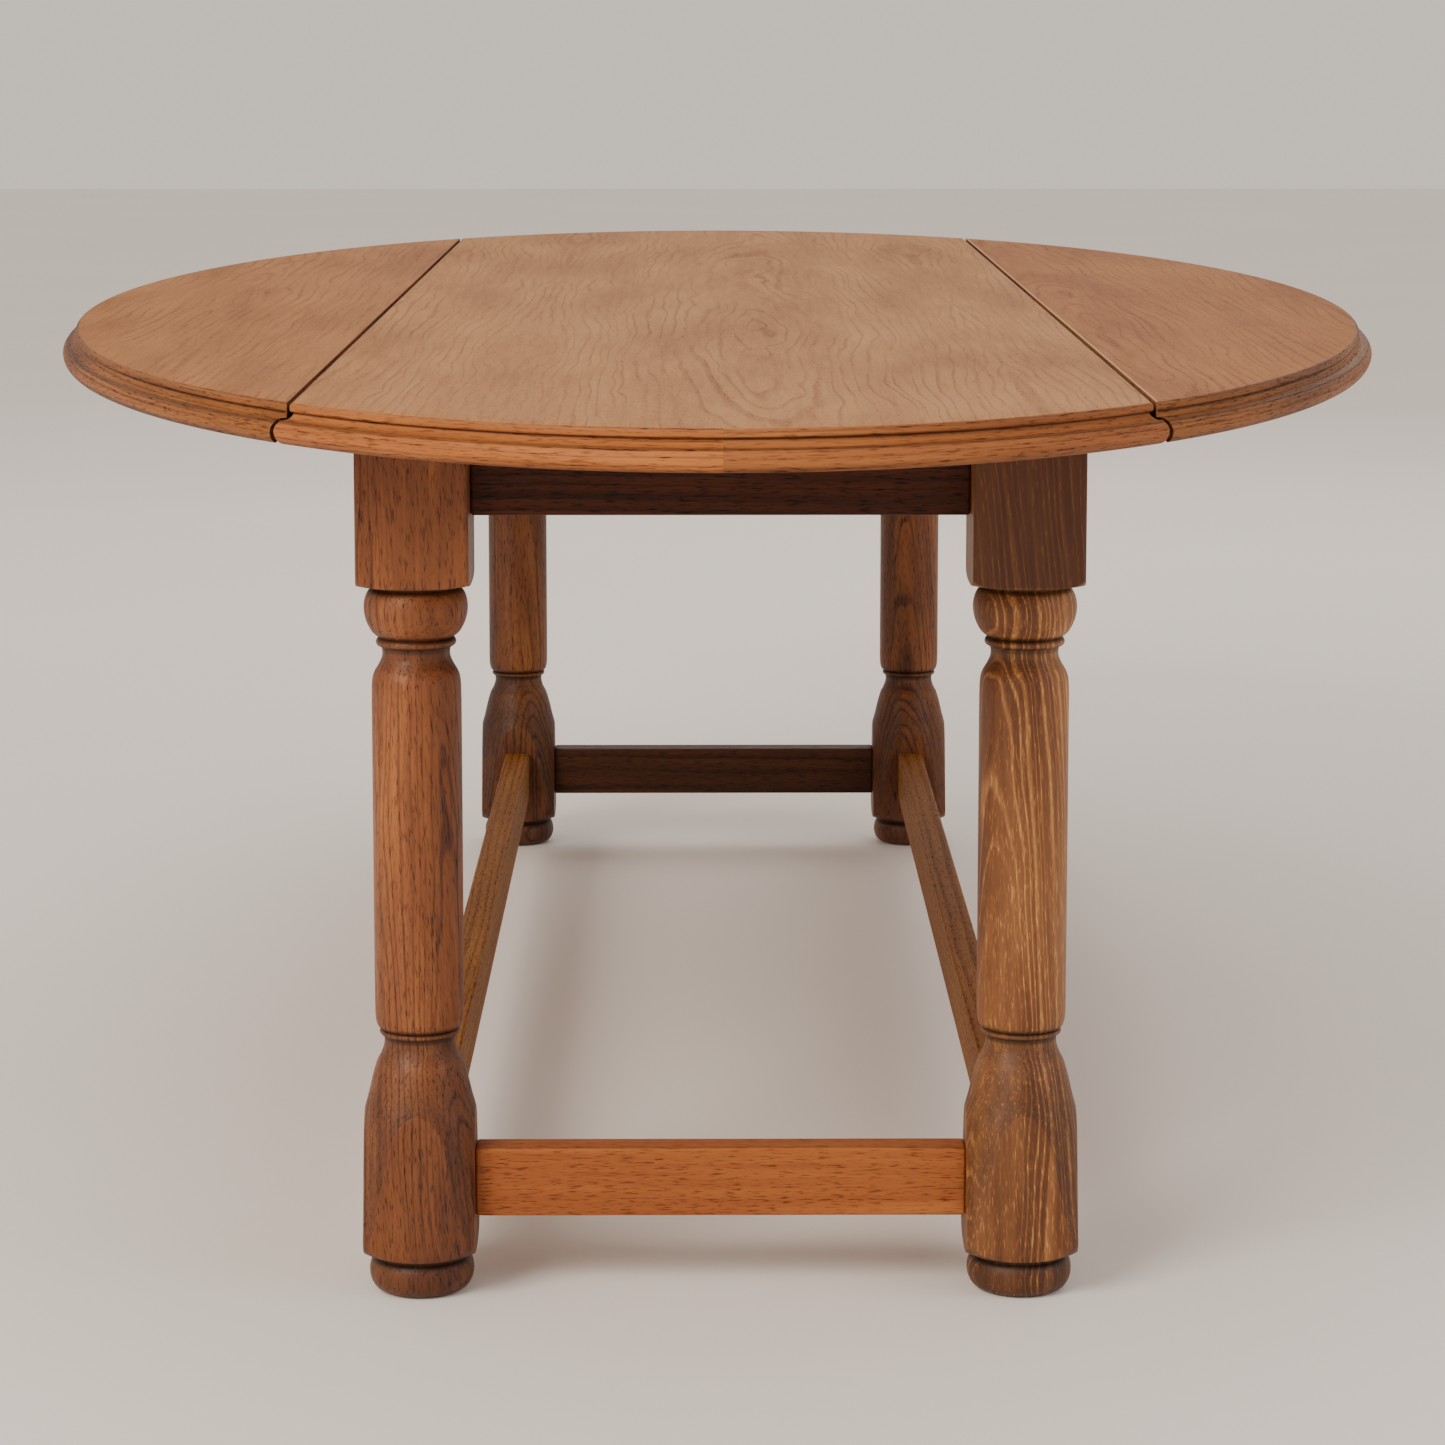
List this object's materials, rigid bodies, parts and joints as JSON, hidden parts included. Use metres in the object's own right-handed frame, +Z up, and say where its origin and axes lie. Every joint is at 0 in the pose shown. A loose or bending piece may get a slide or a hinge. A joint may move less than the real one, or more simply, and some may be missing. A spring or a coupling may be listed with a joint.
{
  "type": "drop leaf table",
  "caption": "Low oval drop leaf table on turned legs joined by a box stretcher, with leaves hinged along its long sides and pull-out supports beneath them.",
  "frame": {"origin": "on the floor under the middle of the raised top", "axes": "+Z up; Y along the hinges, with the end seen in the picture towards -Y; X across the leaves"},
  "size_m": [0.78, 1.5868, 0.46],
  "materials": {
    "veneer": "stained and satin lacquered crown-cut oak veneer",
    "lipping": "stained and satin lacquered solid oak moulding",
    "turned_legs": "stained and satin lacquered turned oak",
    "rails": "dark stained oak",
    "stretchers": "stained and satin lacquered oak",
    "hidden_wood": "planed, unstained beech",
    "hinge_flaps": "brass-plated pressed steel",
    "hinge_pins": "drawn steel wire"
  },
  "bodies": {
    "frame": {"centre_panel": "veneer", "centre_edge_front_left": "lipping", "centre_edge_front_right": "lipping", "centre_edge_back_left": "lipping", "centre_edge_back_right": "lipping", "centre_edge_left": "lipping", "centre_edge_right": "lipping", "leg_front_left": "turned_legs", "leg_front_right": "turned_legs", "leg_back_left": "turned_legs", "leg_back_right": "turned_legs", "rail_front": "rails", "rail_back": "rails", "rail_left": "rails", "rail_right": "rails", "stretcher_front": "stretchers", "stretcher_back": "stretchers", "stretcher_left": "stretchers", "stretcher_right": "stretchers", "corner_brace_front_left": "hidden_wood", "corner_brace_front_right": "hidden_wood", "corner_brace_back_left": "hidden_wood", "corner_brace_back_right": "hidden_wood", "loper_guide_front": "hidden_wood", "loper_guide_back": "hidden_wood", "hinge_left_front_fixed_flap": "hinge_flaps", "hinge_left_front_pin": "hinge_pins", "hinge_left_middle_fixed_flap": "hinge_flaps", "hinge_left_middle_pin": "hinge_pins", "hinge_left_back_fixed_flap": "hinge_flaps", "hinge_left_back_pin": "hinge_pins", "hinge_right_front_fixed_flap": "hinge_flaps", "hinge_right_front_pin": "hinge_pins", "hinge_right_middle_fixed_flap": "hinge_flaps", "hinge_right_middle_pin": "hinge_pins", "hinge_right_back_fixed_flap": "hinge_flaps", "hinge_right_back_pin": "hinge_pins"},
    "leaf_left": {"leaf_left_panel": "veneer", "leaf_left_edge_front": "lipping", "leaf_left_edge_back": "lipping", "leaf_left_joint_strip": "lipping", "hinge_left_front_moving_flap": "hinge_flaps", "hinge_left_middle_moving_flap": "hinge_flaps", "hinge_left_back_moving_flap": "hinge_flaps"},
    "leaf_right": {"leaf_right_panel": "veneer", "leaf_right_edge_front": "lipping", "leaf_right_edge_back": "lipping", "leaf_right_joint_strip": "lipping", "hinge_right_front_moving_flap": "hinge_flaps", "hinge_right_middle_moving_flap": "hinge_flaps", "hinge_right_back_moving_flap": "hinge_flaps"},
    "loper_left_front": {"loper_left_front": "hidden_wood", "loper_stop_left_front": "hidden_wood"},
    "loper_left_back": {"loper_left_back": "hidden_wood", "loper_stop_left_back": "hidden_wood"},
    "loper_right_front": {"loper_right_front": "hidden_wood", "loper_stop_right_front": "hidden_wood"},
    "loper_right_back": {"loper_right_back": "hidden_wood", "loper_stop_right_back": "hidden_wood"}
  },
  "joints": [
    {"name": "leaf_left_hinge", "type": "hinge", "parent": "frame", "child": "leaf_left", "pos_m": [-0.199, 0, 0.4378], "axis": [0, 1, 0], "range_deg": [-90, 0]},
    {"name": "leaf_right_hinge", "type": "hinge", "parent": "frame", "child": "leaf_right", "pos_m": [0.199, 0, 0.4378], "axis": [0, -1, 0], "range_deg": [-90, 0]},
    {"name": "loper_left_front_slide", "type": "slide", "parent": "frame", "child": "loper_left_front", "axis": [-1, 0, 0], "range_m": [0, 0.13]},
    {"name": "loper_left_back_slide", "type": "slide", "parent": "frame", "child": "loper_left_back", "axis": [-1, 0, 0], "range_m": [0, 0.13]},
    {"name": "loper_right_front_slide", "type": "slide", "parent": "frame", "child": "loper_right_front", "axis": [1, 0, 0], "range_m": [0, 0.13]},
    {"name": "loper_right_back_slide", "type": "slide", "parent": "frame", "child": "loper_right_back", "axis": [1, 0, 0], "range_m": [0, 0.13]}
  ]
}
